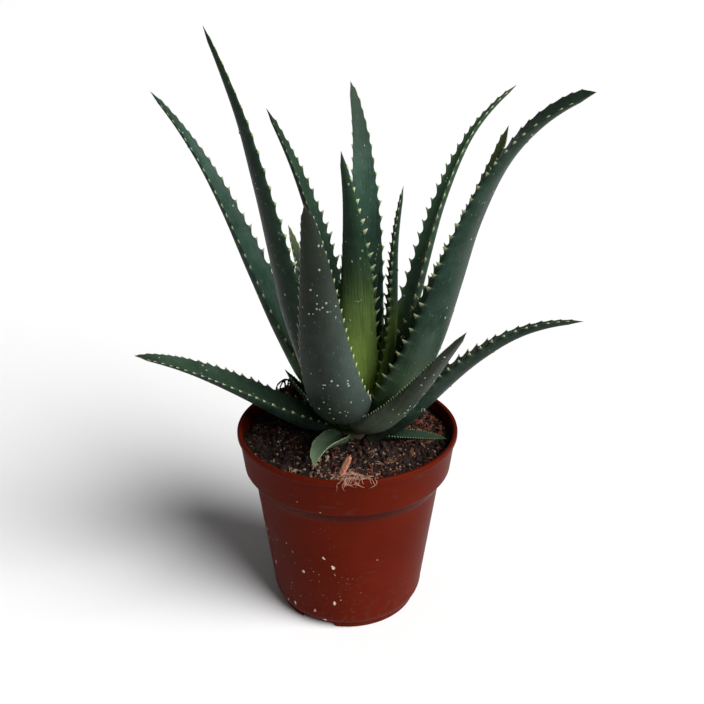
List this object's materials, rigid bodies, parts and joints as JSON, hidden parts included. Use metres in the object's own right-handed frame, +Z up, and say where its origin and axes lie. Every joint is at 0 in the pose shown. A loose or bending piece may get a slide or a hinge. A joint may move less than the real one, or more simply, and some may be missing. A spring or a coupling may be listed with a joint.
{
  "type": "potted aloe",
  "caption": "Potted aloe: a rosette of arching, tapering fleshy leaves with toothed margins, growing from soil in a round plastic nursery pot with a collar rim.",
  "frame": {"origin": "on the pot's axis, on the surface that the pot's foot ring stands on", "axes": "+Z up along the pot's axis, -Y towards the front, +X to the right seen from the front"},
  "size_m": [0.2222, 0.1782, 0.3166],
  "materials": {
    "leaf_green": "fleshy leaf skin, satin, with a bluish wax bloom",
    "leaf_dark_green": "fleshy leaf skin, satin, dark slate green with fine lengthwise lines",
    "leaf_inner_green": "young leaf skin, satin, yellow-green towards the base",
    "pot_plastic": "terracotta-coloured thin plastic, satin, slightly dusty",
    "soil_earth": "dark damp peat mix with bark fibres and grit, rough",
    "bark": "reddish raw bark chip",
    "dry_fibre": "dry tan plant fibre"
  },
  "bodies": {
    "root": {"leaf_left_upper": "leaf_green", "leaf_right_broad": "leaf_green", "leaf_right_back": "leaf_green", "leaf_right_short": "leaf_green", "leaf_right_low": "leaf_green", "leaf_left_low": "leaf_green", "leaf_front_small": "leaf_green", "leaf_right_small": "leaf_green", "leaf_left_small": "leaf_green", "leaf_back_low": "leaf_green", "leaf_back_left": "leaf_green", "leaf_left_back": "leaf_green", "leaf_front_broad": "leaf_dark_green", "leaf_left_tall": "leaf_dark_green", "leaf_left_inner": "leaf_inner_green", "leaf_back_tall": "leaf_inner_green", "leaf_centre_left": "leaf_inner_green", "leaf_centre_right": "leaf_inner_green", "leaf_right_slim": "leaf_inner_green", "leaf_bud": "leaf_inner_green", "stem": "leaf_inner_green", "pot": "pot_plastic", "soil": "soil_earth", "bark_chip": "bark", "fibre_tuft": "dry_fibre", "dry_root_tuft": "dry_fibre"}
  },
  "joints": []
}
